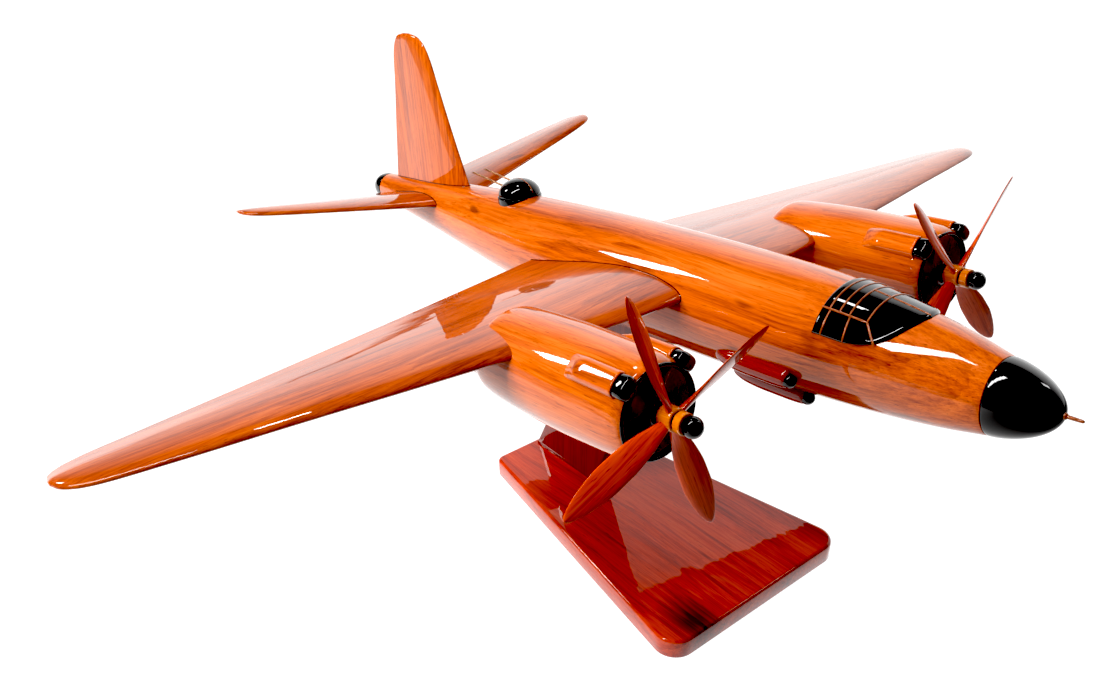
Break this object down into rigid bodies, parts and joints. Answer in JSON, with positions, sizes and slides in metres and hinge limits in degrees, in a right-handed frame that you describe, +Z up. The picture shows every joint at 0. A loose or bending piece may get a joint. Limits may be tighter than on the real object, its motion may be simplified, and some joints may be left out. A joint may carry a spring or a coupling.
{
  "type": "desktop aircraft display model",
  "caption": "Varnished wooden desk model of a piston-engined propeller bomber with spinning propellers, dorsal turret and glazed cockpit, on a tapered board with a raked upright.",
  "frame": {"origin": "centre of the stand board's underside", "axes": "+Z up, the aircraft's nose towards -Y, its port wing towards +X"},
  "size_m": [0.54, 0.4497, 0.2255],
  "materials": {
    "mahogany": "clear high-gloss lacquer over orange-brown mahogany",
    "dark_mahogany": "clear high-gloss lacquer over dark red mahogany",
    "blade_mahogany": "clear gloss lacquer over red mahogany",
    "hub_wood": "gold-brown gloss lacquer",
    "gloss_black": "gloss black lacquer",
    "copper_line": "dull copper",
    "brass_wire": "dull copper-brown wire",
    "steel": "satin"
  },
  "bodies": {
    "stand": {"base_board": "dark_mahogany", "upright": "dark_mahogany", "mount_dowel": "blade_mahogany", "stand_screw_front": "steel", "stand_screw_rear": "steel"},
    "aircraft": {"fuselage": "mahogany", "fin": "mahogany", "wing_starboard": "mahogany", "wing_port": "mahogany", "tailplane_starboard": "mahogany", "tailplane_port": "mahogany", "nacelle_starboard": "mahogany", "nacelle_port": "mahogany", "scoop_outer_starboard": "mahogany", "scoop_outer_port": "mahogany", "scoop_inner_starboard": "mahogany", "scoop_inner_port": "mahogany", "gun_pod_upper_starboard": "mahogany", "gun_pod_upper_port": "mahogany", "gun_pod_lower_starboard": "mahogany", "gun_pod_lower_port": "mahogany", "nose_cone": "gloss_black", "tail_cap": "gloss_black", "canopy_glazing": "gloss_black", "turret_ring": "gloss_black", "turret_dome": "gloss_black", "engine_face_starboard": "gloss_black", "engine_face_port": "gloss_black", "intake_outer_starboard": "gloss_black", "intake_outer_port": "gloss_black", "intake_inner_starboard": "gloss_black", "intake_inner_port": "gloss_black", "gun_muzzle_upper_starboard": "gloss_black", "gun_muzzle_upper_port": "gloss_black", "gun_muzzle_lower_starboard": "gloss_black", "gun_muzzle_lower_port": "gloss_black", "canopy_frame": "copper_line", "nose_pin": "brass_wire", "turret_gun_starboard": "brass_wire", "turret_gun_port": "brass_wire", "prop_shaft_starboard": "steel", "prop_shaft_port": "steel"},
    "propeller_starboard": {"prop_hub_starboard": "hub_wood", "prop_cap_starboard": "gloss_black", "prop_blade_a_starboard": "blade_mahogany", "prop_blade_b_starboard": "blade_mahogany", "prop_blade_c_starboard": "blade_mahogany", "prop_blade_d_starboard": "blade_mahogany"},
    "propeller_port": {"prop_hub_port": "hub_wood", "prop_cap_port": "gloss_black", "prop_blade_a_port": "blade_mahogany", "prop_blade_b_port": "blade_mahogany", "prop_blade_c_port": "blade_mahogany", "prop_blade_d_port": "blade_mahogany"}
  },
  "joints": [
    {"name": "aircraft_lift_off", "type": "slide", "parent": "stand", "child": "aircraft", "axis": [0, 0.1219, 0.9925], "range_m": [0, 0.03]},
    {"name": "propeller_starboard_spin", "type": "hinge", "parent": "aircraft", "child": "propeller_starboard", "pos_m": [-0.089, -0.10411, 0.15544], "axis": [0, -0.9925, 0.1219], "continuous": true},
    {"name": "propeller_port_spin", "type": "hinge", "parent": "aircraft", "child": "propeller_port", "pos_m": [0.089, -0.10411, 0.15544], "axis": [0, -0.9925, 0.1219], "continuous": true}
  ]
}
